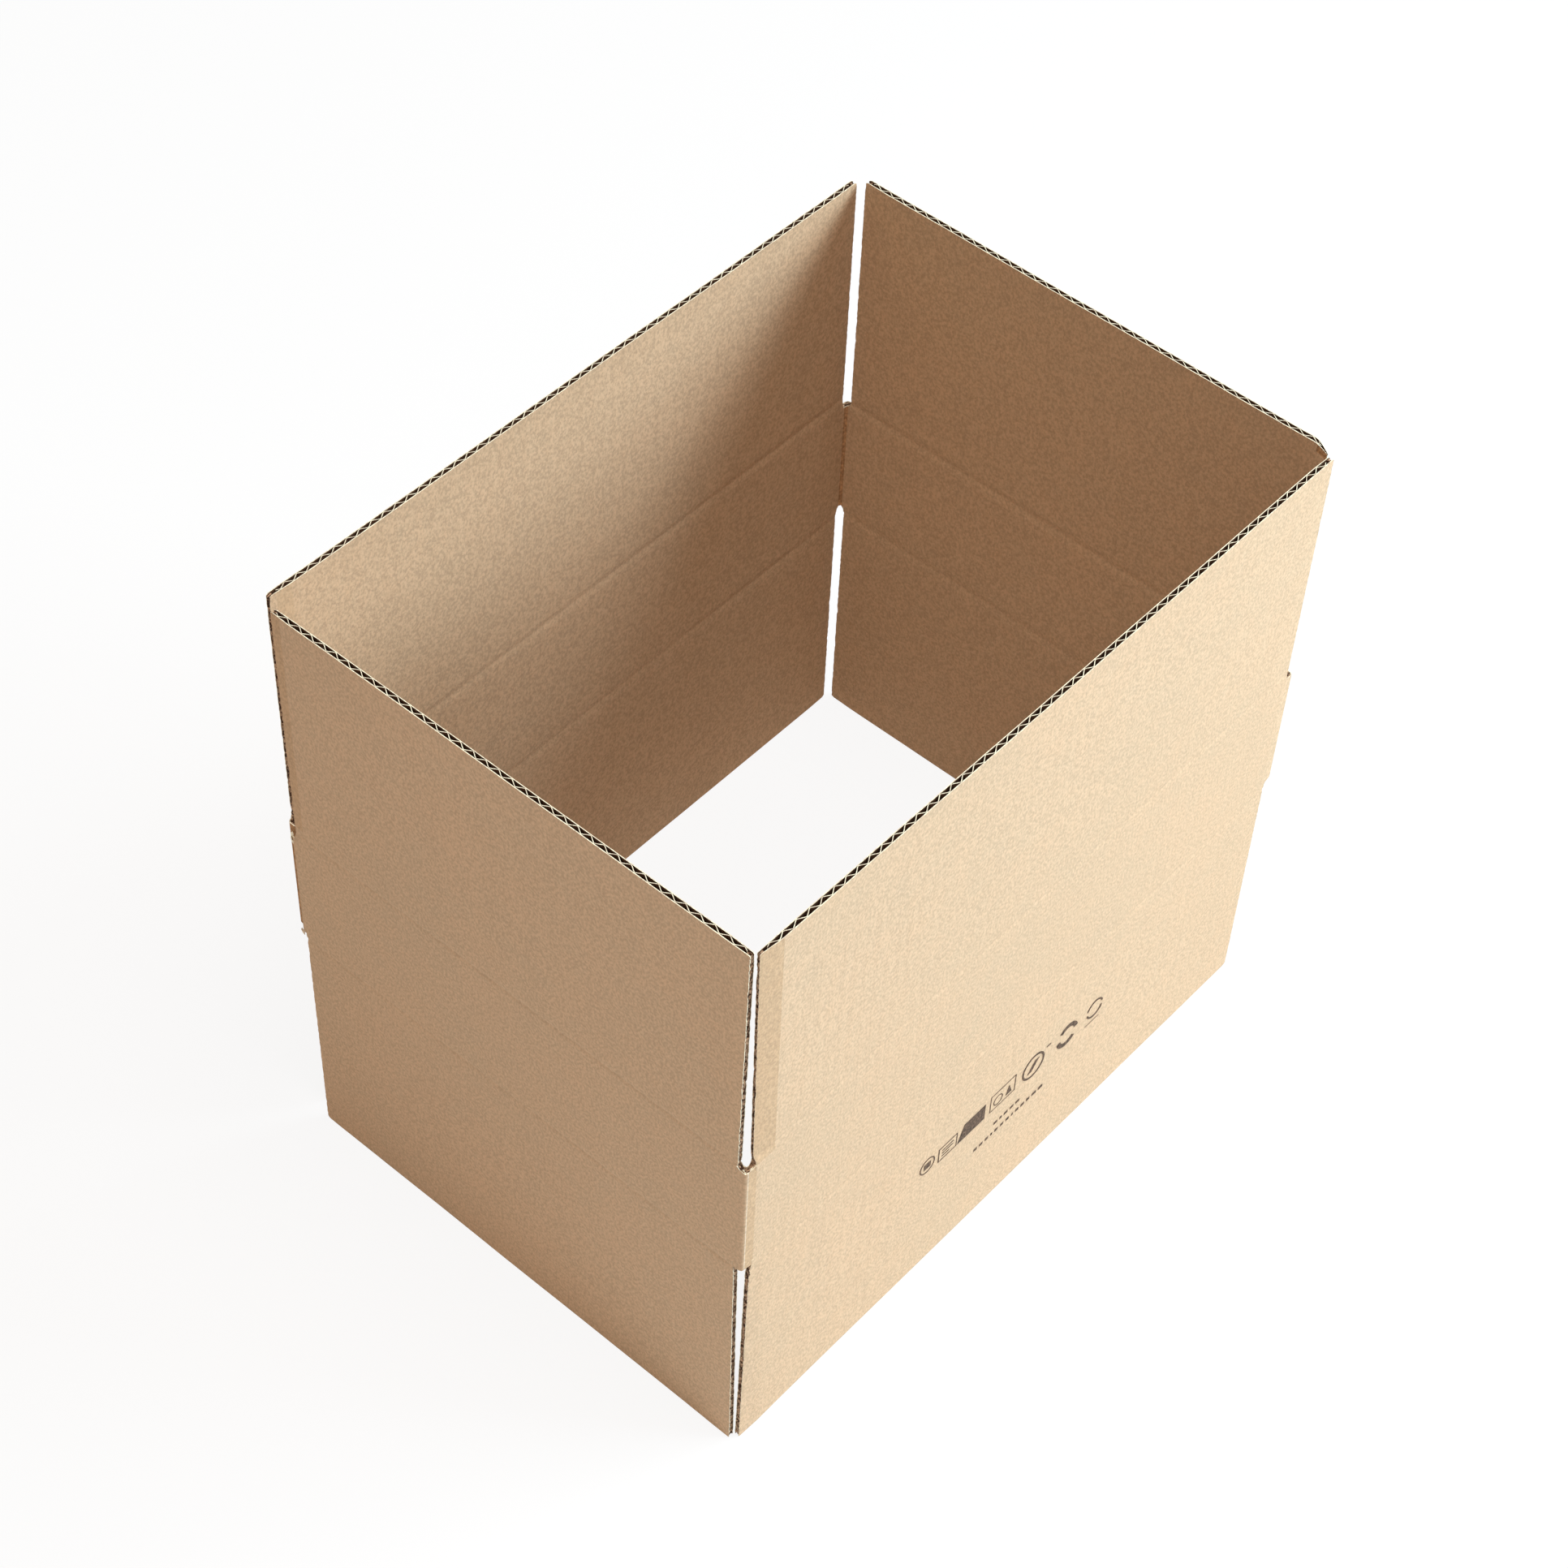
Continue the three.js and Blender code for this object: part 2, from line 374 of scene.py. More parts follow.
def fold(x, y, turn_x, turn_y, long_first, depth):
    """Plan points round one fold whose outer faces meet at x, y. turn_x and turn_y point into the box.
    long_first says that the path comes along the long wall."""
    radius = CORNER_RADIUS if depth < BOARD / 2 else INNER_RADIUS
    sink = FOLD_SINK * (1 - depth / BOARD)
    near_x = x + turn_x * depth
    near_y = y + turn_y * depth
    centre_x = near_x + turn_x * radius
    centre_y = near_y + turn_y * (radius + sink)
    points = [(near_x, y + turn_y * FOLD_RUN)]
    for angle in steps(0, math.pi / 2, ARC_STEPS):
        arc_x = centre_x - turn_x * radius * math.cos(angle)
        arc_y = centre_y - turn_y * radius * math.sin(angle)
        points.append((arc_x, arc_y))
    points.append((x + turn_x * FOLD_STRIP, near_y + turn_y * sink * EDGE_SINK))
    points.append((x + turn_x * (FOLD_STRIP + STRIP_EDGE), near_y))
    points.append((x + turn_x * FOLD_RUN, near_y))
    return points[::-1] if long_first else points


def fold_points(depth):
    """The four folds in order: front left, front right, back right and the maker's joint."""
    return [
        fold(-HALF_LENGTH, -HALF_WIDTH, 1, 1, False, depth),
        fold(HALF_LENGTH, -HALF_WIDTH, -1, 1, True, depth),
        fold(HALF_LENGTH, HALF_WIDTH, -1, -1, False, depth),
        fold(-HALF_LENGTH + BOARD, HALF_WIDTH, 1, -1, True, depth),
    ]


# Points on the short run of wall from a slot to its fold
RUN_STEPS = 4
# What stays of the pressed strip's depth where it meets a slot
SLOT_SINK = 0.33


def fold_reach(depth, number):
    """A fold's own bend, with a short run of wall each side up to the slots."""
    arc = fold_points(depth)[number]
    long_first = number in (1, 3)
    arc = arc[3:-1] if long_first else arc[1:-3]
    turn_x = -1 if number in (0, 3) else 1
    turn_y = -1 if number < 2 else 1
    sink = FOLD_SINK * (1 - depth / BOARD) * SLOT_SINK
    long_run = (turn_x * LONG_END, turn_y * (HALF_WIDTH - depth - sink))
    short_run = (turn_x * (HALF_LENGTH - depth), turn_y * SHORT_END)
    if number == 3:
        short_run = (-HALF_LENGTH + BOARD + depth, RAW_EDGE)
    ends = (long_run, short_run) if long_first else (short_run, long_run)

    def between(first, last):
        return [(first[0] + (last[0] - first[0]) * s, first[1] + (last[1] - first[1]) * s)
                for s in steps(0, 1, RUN_STEPS)[:-1]]

    return between(ends[0], arc[0]) + arc + between(ends[1], arc[-1])[::-1]


# A torn end is this uneven, over this many tears
TEAR = 0.35
TEARS = 9


def strip(points, heights, end_row=None, end_shape=None, seed=0):
    """A grid of points up a wall. end_shape gives the height of the torn end row along its length."""
    grid = []
    for row, z in enumerate(heights):
        line = []
        for column, (x, y) in enumerate(points):
            lift = 0.0
            if row == end_row:
                share = column / (len(points) - 1)
                lift = end_shape(share) + TEAR * ragged(seed, share * TEARS, 1.0)
            line.append(Vector((x, y, z + lift)) * MM)
        grid.append(line)
    return grid


# The depths of the outer liner, the core and the inner liner, and the finishes of each
LAYERS = ((FACE, LINER), (LINER, BOARD - LINER), (BOARD - LINER, BOARD - FACE))
LAYER_KINDS = (
    (Board.OUTER, Board.CORE, Board.EDGE),
    (Board.CORE, Board.CORE, Board.CORE),
    (Board.CORE, Board.INNER, Board.EDGE),
)


def add_layers(board, path_at, heights, near_kind=None, far_kind=None, end_row=None, end_shape=None):
    """Both liners and the core between them along a path, which path_at gives for a depth. near_kind and
    far_kind choose the finish of the outer and the inner face."""
    for number, (shallow, deep) in enumerate(LAYERS):
        near = strip(path_at(shallow), heights, end_row, end_shape, number)
        far = strip(path_at(deep), heights, end_row, end_shape, number)
        outer_choice = near_kind if number == 0 else None
        inner_choice = far_kind if number == len(LAYERS) - 1 else None
        board.slab(near, far, LAYER_KINDS[number], outer_choice, inner_choice)


# The core stands back this far between the liners at the raw edge
CORE_RECESS = 0.35
# More places on the left wall's way from its raw edge to the front fold
LEFT_WALL_STOPS = (100, 0)


def left_wall_path(depth):
    recess = CORE_RECESS if LINER <= depth <= BOARD - LINER else 0.0
    return [(-HALF_LENGTH + depth, y) for y in (RAW_EDGE - recess, *LEFT_WALL_STOPS)]


# The glue tab: its far end, the slant of its cut ends, its margin to the creases and the glue's gap
TAB_END = HALF_WIDTH - 35
TAB_TAPER = 8.0
TAB_MARGIN = 0.5
GLUE_GAP = 0.02
# How far each corner's slot is eaten into the fold, above and below, and how far that end slants
SLOT_NOTCH = ((1.8, 0.8), (1.6, 1.6), (1.8, 3.4), (1.0, 2.4))
SLOT_SLANT = ((0.0, 0.6), (0.0, 0.0), (1.6, 0.0), (0.8, 1.2))
# A fold ends this far short of the scores, and its torn end is rounded by this power of a sine
SLOT_MARGIN = 0.2
SLOT_ROUNDING = 0.45


def build_sleeve():
    board = Board("sleeve_board", True)
    low = SHORT_LOW + CREASE_REACH
    high = SHORT_HIGH - CREASE_REACH
    # The column where the front left fold ends and its pressed strip starts
    near_fold = len(left_wall_path(0)) + 1 + ARC_STEPS

    # The front left fold's last facet gets a painted highlight, and the first facet of its pressed strip
    # painted shade
    def near_kind(column, row):
        return {near_fold - 1: board.WORN, near_fold: board.PRESSED}.get(column)

    # The inner face of the front left fold gets painted shade
    def near_inside(column, row):
        return board.FOLD if 0 <= near_fold - 1 - column < ARC_STEPS else None

    def first_path(depth):
        return [*left_wall_path(depth), *fold_points(depth)[0]]

    add_layers(board, first_path, steps(low, high, 1), near_kind, near_inside)

    def around(depth):
        folds = fold_points(depth)
        return [folds[0][-1], *folds[1], *folds[2], *folds[3]]

    # The maker's joint is painted dark from this column on, as painted shade on its crushed fold
    joint_start = len(around(0)) - ARC_STEPS - 3

    def joint_kind(column, row):
        return board.FOLD if column >= joint_start else None

    fold_size = len(fold_points(0)[0])

    # The inner faces of the other folds get painted shade
    def fold_inside(column, row):
        number, step = divmod(column - 1, fold_size)
        # The bend starts one point in, or three where the path comes along the long wall
        first = 1 if number == 1 else 3
        return board.FOLD if first <= step < first + ARC_STEPS else None

    add_layers(board, around, steps(low, high, 1), joint_kind, fold_inside)
    # The long walls reach on to their own scores
    for turn in (-1, 1):
        for heights in ((LONG_LOW + CREASE_REACH, low), (high, LONG_HIGH - CREASE_REACH)):
            def face(depth, turn=turn):
                return [(-LONG_END, turn * (HALF_WIDTH - depth)), (LONG_END, turn * (HALF_WIDTH - depth))]

            add_layers(board, face, heights)
    # Each fold runs on up to the end of its slots, where the knife tore it
    last = 2 * RUN_STEPS + ARC_STEPS
    for number in range(4):
        def bend(depth, number=number):
            return fold_reach(depth, number)

        # The maker's joint's fold is painted shade; at the front left fold a facet gets a painted highlight
        # and the pressed strip painted shade
        def bend_kind(column, row, number=number):
            if number == 3:
                return board.FOLD if column >= RUN_STEPS else None
            if number == 0:
                if column == last - RUN_STEPS - 1:
                    return board.WORN
                return board.PRESSED if column >= last - RUN_STEPS else None
            return None

        # The folds' inner faces get painted shade up to the slots
        def bend_inside(column, row):
            return board.FOLD if RUN_STEPS <= column < RUN_STEPS + ARC_STEPS else None

        above, below = SLOT_NOTCH[number]
        slant_above, slant_below = SLOT_SLANT[number]

        def upper_end(share, above=above, slant=slant_above):
            return -above * math.sin(math.pi * share) ** SLOT_ROUNDING - slant * share

        def lower_end(share, below=below, slant=slant_below):
            return below * math.sin(math.pi * share) ** SLOT_ROUNDING + slant * share

        add_layers(board, bend, (high, SHORT_HIGH - SLOT_MARGIN), bend_kind, bend_inside, 1, upper_end)
        add_layers(board, bend, (SHORT_LOW + SLOT_MARGIN, low), bend_kind, bend_inside, 0, lower_end)
    # The glue tab behind the left wall, its ends cut on a slant
    tab = steps(RAW_EDGE, TAB_END, 4)
    for layer, kinds in zip(LAYERS, LAYER_KINDS):
        sheets = []
        for depth in layer:
            x = -HALF_LENGTH + BOARD + GLUE_GAP + depth
            sheet = []
            for end, turn in ((low + TAB_MARGIN, 1), (high - TAB_MARGIN, -1)):
                slope = turn * TAB_TAPER / (RAW_EDGE - TAB_END)
                sheet.append([Vector((x, y, end + slope * (RAW_EDGE - y))) * MM for y in tab])
            sheets.append(sheet)
        board.slab(*sheets, kinds)
    add_scraps(board)
    piece = board.finish()
    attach(piece, "sleeve")
    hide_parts("sleeve")


def add_scraps(board):
    """Flakes of liner and medium left standing where the knife tore the slot ends."""
    along_y = Vector((0, 1, 0))
    along_x = Vector((1, 0, 0))
    up = Vector((0, 0, 1))
    corner_x = -HALF_LENGTH + 0.7
    corner_y = -HALF_WIDTH + 0.9
    top = SHORT_HIGH - 0.4
    base = SHORT_LOW + 0.4
    board.scrap(
        Vector((corner_x, corner_y + 0.4, top - 2.2)), along_y, up,
        [(0, 0), (1.5, -0.3), (1.9, 1.2), (1.0, 2.0), (0.7, 0.9), (0.1, 1.3)], 0.2, board.EDGE,
    )
    board.scrap(
        Vector((corner_x + 1.6, corner_y, top - 2.0)), along_x, up,
        [(0, 0), (1.9, 0.2), (2.2, 1.6), (1.5, 1.1), (0.9, 1.9), (0.3, 1.0)], 0.2, board.WORN,
    )
    board.scrap(
        Vector((corner_x + 0.2, corner_y + 0.2, base + 2.6)), (along_x + along_y * 0.6).normalized(), up,
        [(0, 0), (0.5, -2.4), (1.0, -3.0), (1.3, -1.8), (1.9, -2.2), (2.2, 0.1)], 0.25, board.EDGE,
    )
    board.scrap(
        Vector((corner_x, corner_y + 4.1, base + 1.4)), along_y, up,
        [(0, 0), (0.4, -2.2), (0.9, -0.9), (1.3, 0.3)], 0.2, board.CORE,
    )
    # A torn flute stands at the top of the maker's joint, and a worn shred of liner at its foot
    joint_x = -HALF_LENGTH + 0.4
    board.scrap(
        Vector((joint_x, RAW_EDGE + 0.1, SHORT_HIGH - 9.5)), along_y, up,
        [(0, 0), (1.4, 0.8), (1.9, 3.2), (1.2, 6.9), (0.5, 8.0), (0, 6.0)], 0.22, board.EDGE,
    )
    # Beside it a flake in the flutes' painted shade
    board.scrap(
        Vector((joint_x - 0.05, RAW_EDGE + 0.4, SHORT_HIGH - 7.2)), along_y, up,
        [(0, 0), (0.7, 0.3), (0.9, 2.3), (0.4, 3.1), (0.1, 2.0)], 0.2, board.FLUTE,
    )
    board.scrap(
        Vector((joint_x, RAW_EDGE + 0.1, SHORT_LOW + 0.6)), along_y, up,
        [(0, 0.4), (1.2, 0.9), (2.1, 2.6), (1.5, 3.9), (0.7, 3.2), (0, 4.4)], 0.22, board.WORN,
    )


build_sleeve()

# The flaps
# Eight tongues of the same sheet, four to close the top and four the bottom. A knife cut the slots
# between them and left torn edges; their ends are cut across the flutes, which stand open.
CRUSH_WIDTH = 11.0
# The columns of points beside a cut edge, close together where the board is crushed
EDGE_PLACES = (0.0, 0.6, 1.3, 2.2, 3.5, 5.0, 7.0, 9.0, 10.2, CRUSH_WIDTH, 11.8, 14.0)
# Each side's outer face, the way along its score and the way into the box
SIDES = {
    "front": (Vector((0, -HALF_WIDTH, 0)), Vector((1, 0, 0)), Vector((0, 1, 0))),
    "back": (Vector((0, HALF_WIDTH, 0)), Vector((1, 0, 0)), Vector((0, -1, 0))),
    "left": (Vector((-HALF_LENGTH, 0, 0)), Vector((0, 1, 0)), Vector((1, 0, 0))),
    "right": (Vector((HALF_LENGTH, 0, 0)), Vector((0, 1, 0)), Vector((-1, 0, 0))),
}
# How far the outer and the inner liner are pressed in at the start and the end of a flap
SLIGHT = (0.18, 0.15)
CRUSHED = {
    "top_flap_front": ((1.35, 0.1), (0.25, 0.35)),
    "bottom_flap_front": ((0.55, 0.1), SLIGHT),
    "top_flap_back": ((0.2, 0.5), SLIGHT),
    "top_flap_left": ((0.2, 0.3), (0.5, 0.2)),
}
# How much of each outer corner is worn away: across, down and leaning in
WORN_CORNER = (1.6, 0.9, 0.1)
SHARP_CORNER = (0.7, 0.4, 0.0)
BENT_CORNER = (6.4, 3.9, 1.3)
# The lean falls by this share for each millimetre of depth, which crushes the board at the corner
CORNER_CRUSH = 0.56
# The power that rounds a worn corner
CORNER_CURVE = 1.3
# The slots at the front left corner narrow away from the score: how far each flap widens there, at the
# score and at its end, and over how much of its width
SLOT_FLARE = (0.6, 2.2)
FLARE_REACH = 30
FLARED = ("top_flap_front", "top_flap_left", "bottom_flap_front", "bottom_flap_left")
# A whole panel is uneven by up to this much, which fades in over these distances from its crease and its
# sides, in swells of this size along the score and away from it
SWELL = 0.35
SWELL_FROM_CREASE = 25
SWELL_FROM_SIDE = 20
SWELL_ALONG = 55
SWELL_UP = 40


class Flap:
    def __init__(self, name, seed):
        self.name = name
        self.seed = seed
        level, _, side = name.split("_")
        self.long = side in ("front", "back")
        self.origin, self.along, self.inward = SIDES[side]
        self.rise = 1 if level == "top" else -1
        low, high = (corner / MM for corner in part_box(name))
        self.start = low.dot(self.along)
        self.end = high.dot(self.along)
        self.score = SCORES[name]
        self.length = high.z - self.score if self.rise > 0 else self.score - low.z
        self.crushed = CRUSHED.get(name, (SLIGHT, SLIGHT))
        self.flare = SLOT_FLARE if name in FLARED else (0.0, 0.0)
        self.corners = [WORN_CORNER, WORN_CORNER]
        if name == "top_flap_right":
            self.corners[0] = BENT_CORNER
        if name in FLARED:
            self.corners[0] = SHARP_CORNER

    def at(self, u, depth, away):
        """The place u along the score, depth in from the outer face and away from the score."""
        height = Vector((0, 0, self.score + self.rise * away))
        return (self.origin + self.along * u + self.inward * depth + height) * MM

    def pressed(self, u, depth, away):
        """The depth once the board is crushed beside its slots, fading out below the score."""
        outer = inner = 0.0
        for edge, (outer_sink, inner_sink) in zip((self.start, self.end), self.crushed):
            share = min(1.0, max(0.0, 1 - abs(u - edge) / CRUSH_WIDTH))
            outer += outer_sink * share
            inner += inner_sink * share
        fade = ease((away + CREASE_REACH) / (2 * CREASE_REACH))
        share = depth / BOARD
        return depth + (outer * (1 - share) - inner * share) * fade

    def swell(self, u, away):
        """A faint unevenness of the whole panel, always inwards."""
        fade = ease((away - CREASE_REACH) / SWELL_FROM_CREASE)
        for from_side in (u - self.start, self.end - u):
            fade *= ease(from_side / SWELL_FROM_SIDE)
        level = noise.noise(Vector((u / SWELL_ALONG, away / SWELL_UP, self.seed * 3.1)))
        return SWELL * fade * (0.5 + 0.5 * level)

    def place(self, u, depth, away, reach=None):
        """The place with the flap's crushed sides, swell and worn or bent outer corners."""
        reach = away if reach is None else reach
        deep = self.pressed(u, depth, away) + self.swell(u, away)
        for edge, (across, down, tilt) in zip((self.start, self.end), self.corners):
            near = max(0.0, 1 - abs(u - edge) / across)
            top = ease(1 - (self.length - reach) / (4 * down + 2))
            reach -= down * near ** CORNER_CURVE * top
            deep += (tilt - CORNER_CRUSH * tilt * depth) * near * top
        return self.at(self.widened(u, away), deep, reach)

    def widened(self, u, away):
        """The place along the score once the flap widens towards its narrowing slot."""
        from_score = ease((away + CREASE_REACH) / (2 * CREASE_REACH))
        spread = max(0.0, 1 - (u - self.start) / FLARE_REACH) * from_score
        least, most = self.flare
        return u - spread * (least + (most - least) * max(0.0, away) / self.length)


def spaced(start, end, coarse):
    """Places from start to end, close together near both ends."""
    reach = EDGE_PLACES[-1]
    middle = max(2, int((end - start - 2 * reach) / coarse))
    run = [start + place for place in EDGE_PLACES]
    run += steps(start + reach, end - reach, middle)[1:-1]
    run += [end - place for place in reversed(EDGE_PLACES)]
    return run


# The teeth and the nicks that the slotting knife leaves
TOOTH_PITCH = 1.9
TOOTH_DEPTH = 0.5
NICK_PITCH = 5.0
NICK_DEPTH = 1.1


def knife_cut(seed, along):
    """How far a slot's edge is eaten away: fine teeth with a deeper nick now and then."""
    teeth = abs(ragged(seed, along, TOOTH_PITCH))
    nick = max(0.0, ragged(seed + 1.3, along, NICK_PITCH) - 0.3)
    return 0.05 + TOOTH_DEPTH * teeth + NICK_DEPTH * nick


# A flap's rows of points, and the last few, which stand a millimetre apart
FLAP_ROWS = 88
END_ROWS = 7
END_WEAR = 0.12
# Places of the painted shade beside a slot: a pressed strip's width or its start, and the bent corner's face
NARROW_STRIP = 4.9
BACK_STRIP_START = 3.4
BENT_FACE = 5
STRIP_END = CRUSH_WIDTH - 0.1
# The medium's thickness, the room that it leaves at the slots, and its wave: part zigzag and part sine
MEDIUM = 0.3
MEDIUM_MARGIN = 2.4
WAVE_STEPS = 12
WAVE_DRIFT = 0.25
ZIGZAG, SINE = 0.72, 0.28
# The rows of the torn core at a slot's edge, and how far back from the edge it reaches
CORE_ROWS = 130
CORE_BACK = 2.4


def build_flap(flap):
    board = Board(flap.name + "_board", flap.long)
    across = spaced(flap.start, flap.end, 8.0)
    away = steps(CREASE_REACH, flap.length - (END_ROWS + 1), FLAP_ROWS)
    away += steps(flap.length - END_ROWS, flap.length, END_ROWS)

    def sheet(depth, seed):
        grid = []
        for row, w in enumerate(away):
            line = []
            for column, u in enumerate(across):
                if column == 0:
                    u += knife_cut(seed, w)
                elif column == len(across) - 1:
                    u -= knife_cut(seed + 3, w)
                reach = w
                if row == len(away) - 1:
                    reach -= END_WEAR + END_WEAR * abs(ragged(seed + 6, u, 2.5))
                line.append(flap.place(u, depth, w, reach))
            grid.append(line)
        return grid

    # The pressed strips beside the front and the left top flaps' slots get painted shade
    def near_kind(column, row):
        from_start = across[column] - flap.start
        from_end = flap.end - across[column + 1]
        if flap.name == "top_flap_front" and from_start < STRIP_END:
            return board.PRESSED
        if flap.name == "top_flap_left" and from_end < NARROW_STRIP:
            return board.PRESSED
        return None

    # The bent corner's inner face and a strip of the back flap's inner face get painted shade
    def inside_kind(column, row):
        from_start = across[column] - flap.start
        near_corner = from_start < BENT_FACE and away[row] > flap.length - BENT_FACE
        if flap.name == "top_flap_right" and near_corner:
            return board.FOLD
        if flap.name == "top_flap_back" and BACK_STRIP_START < from_start < STRIP_END:
            return board.PRESSED
        return None

    # The liners' faces towards the core are painted dark as painted shade in the flutes
    seed = flap.seed
    board.slab(sheet(FACE, seed), sheet(LINER, seed), (board.OUTER, board.FLUTE, board.EDGE), near_kind)
    seed += 0.5
    inside = (sheet(BOARD - FACE, seed), sheet(BOARD - LINER, seed))
    board.slab(*inside, (board.INNER, board.FLUTE, board.EDGE), inside_kind)

    # The medium runs as a rounded zigzag between the liners, and its faces are painted dark as painted shade
    # in the open flutes
    count = int((flap.end - flap.start - MEDIUM_MARGIN) // FLUTE_PITCH)
    first = (flap.start + flap.end - count * FLUTE_PITCH) / 2
    swing = (BOARD - 2 * LINER - MEDIUM) / 2
    outer_side = []
    inner_side = []
    for number in range(count * WAVE_STEPS + 1):
        phase = 2 * math.pi * number / WAVE_STEPS
        u = first + FLUTE_PITCH * number / WAVE_STEPS + WAVE_DRIFT * ragged(flap.seed + 9, number, 17.0)
        wave = ZIGZAG * math.asin(math.sin(phase)) * 2 / math.pi + SINE * math.sin(phase)
        slope = math.cos(phase) * swing * 4 / FLUTE_PITCH
        lean = 1 / math.sqrt(1 + slope * slope)
        middle = BOARD / 2 + wave * swing
        outer_side.append((u + slope * lean * MEDIUM / 2, middle - lean * MEDIUM / 2))
        inner_side.append((u - slope * lean * MEDIUM / 2, middle + lean * MEDIUM / 2))

    def medium(points):
        rows = (CREASE_REACH, flap.length - 20, flap.length - 7, flap.length - 3.2, flap.length - 0.15)
        return [[flap.place(u, depth, w) for u, depth in points] for w in rows]

    board.slab(medium(outer_side), medium(inner_side), (board.FLUTE, board.FLUTE, board.EDGE))

    # The slotting knife leaves a torn, pitted edge between the liners, with painted shade in its pits and on
    # the faces behind them
    rows = steps(CREASE_REACH, flap.length - 0.9, CORE_ROWS)
    depths = steps(LINER - 0.1, BOARD - LINER + 0.1, 4)
    for edge, turn in ((flap.start, 1), (flap.end, -1)):

        def core(recess=None):
            grid = []
            for w in rows:
                line = []
                for place, depth in enumerate(depths):
                    pit = max(0.15, 0.4 + 0.6 * ragged(flap.seed + place * 2.3 + turn, w, 1.4))
                    line.append(flap.place(edge + turn * (recess or pit), depth, w))
                grid.append(line)
            return grid

        board.slab(core(), core(CORE_BACK), (board.CORE, board.FLUTE, board.CORE))
    if flap.name == "top_flap_right":
        add_bent_corner(board, flap)
    piece = board.finish()
    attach(piece, flap.name)
    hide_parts(flap.name)


FIBRES = 7


def add_bent_corner(board, flap):
    """Torn fibres that stand out where the corner of the right top flap was knocked over."""
    for number in range(FIBRES):
        share = (number + 0.6) / FIBRES
        u = flap.start + 5.6 * share
        w = flap.length - 3.6 * (1 - share) - 0.3
        foot = flap.place(u, 1.0 + 0.25 * (number % 3), w) / MM
        length = 1.3 + 0.9 * ragged(41, number, 0.7)
        tip = (0.05 + 0.2 * (number % 2), length * 0.35)
        board.scrap(
            foot, flap.along, Vector((0, 0, 1)),
            [(-0.45, -1.6), (0.5, -1.5), (0.35, 0.1), tip, (-0.3, 0.0)],
            0.15, board.EDGE if number % 2 else board.WORN,
        )


FLAPS = []
for level in ("top", "bottom"):
    for side in SIDES:
        FLAPS.append(Flap(f"{level}_flap_{side}", len(FLAPS)))
for flap in FLAPS:
    build_flap(flap)

# The creases
# The strip of board astride each score. A blunt wheel crushed the flutes flat along it, so that the
# liners bend there when the flap is folded.
CREASE_ROWS = 20
# How deep each liner is pressed in at the score, how wide that groove is, and how uneven
OUTER_DIP = (0.40, 1.3)
INNER_DIP = (0.34, 2.2)
DIP_UNEVEN = 0.35


def build_crease(flap):
    board = Board(flap.name.replace("flap", "crease"), flap.long)
    across = spaced(flap.start, flap.end, 6.0)
    away = steps(-CREASE_REACH, CREASE_REACH, CREASE_ROWS)
    pressed_columns = EDGE_PLACES.index(CRUSH_WIDTH) if flap.name == "top_flap_front" else 0

    def sheet(depth, seed):
        grid = []
        share = depth / BOARD
        for w in away:
            line = []
            for column, u in enumerate(across):
                uneven = 1 + DIP_UNEVEN * ragged(flap.seed, u, 9.0)
                outer_dip = OUTER_DIP[0] * math.exp(-((w / OUTER_DIP[1]) ** 2)) * uneven
                inner_dip = INNER_DIP[0] * math.exp(-((w / INNER_DIP[1]) ** 2)) * uneven
                dipped = flap.pressed(u, depth, w) + outer_dip * (1 - share) - inner_dip * share
                if column == 0:
                    u += knife_cut(seed, w)
                elif column == len(across) - 1:
                    u -= knife_cut(seed + 3, w)
                line.append(flap.at(flap.widened(u, w), dipped, w))
            grid.append(line)
        return grid

    # The front top flap's pressed strip gets painted shade here too
    def near_kind(column, row):
        return board.PRESSED if column < pressed_columns else None

    seed = flap.seed + 11
    board.slab(sheet(FACE, seed), sheet(LINER, seed), (board.OUTER, board.CORE, board.EDGE), near_kind)
    board.slab(sheet(LINER, seed + 1), sheet(BOARD - LINER, seed + 2), (board.CORE, board.CORE, board.CORE))
    seed += 4
    board.slab(sheet(BOARD - FACE, seed), sheet(BOARD - LINER, seed), (board.INNER, board.CORE, board.EDGE))
    piece = board.finish()
    flap.at(0, 0, -CREASE_REACH)
    flap.at(0, 0, CREASE_REACH)
    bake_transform(piece)


for flap in FLAPS:
    build_crease(flap)

# Print on the front
# One colour of dark brown ink, stamped low on the front bottom flap by a rubber plate. The row holds
# plain handling shapes and two lines of bars, all unlettered, and the ink is thin enough to show grain.
INK_THICKNESS = 0.03
INK_COLOUR = (0.108, 0.068, 0.045)
RING_STEPS = 28
# The heights of the row of shapes and of the two lines of bars, and the widths of the bars
ROW_HEIGHT = 74.5
BAR_HEIGHTS = (57.8, 51.0)
BAR_WIDTHS = (
    (2.6, 1.6, 2.6, 2.6, 2.6),
    (2.3, 2.3, 2.3, 1.2, 2.3, 2.3, 2.3, 1.2, 2.3, 2.3, 2.3, 3.0, 3.0),
)


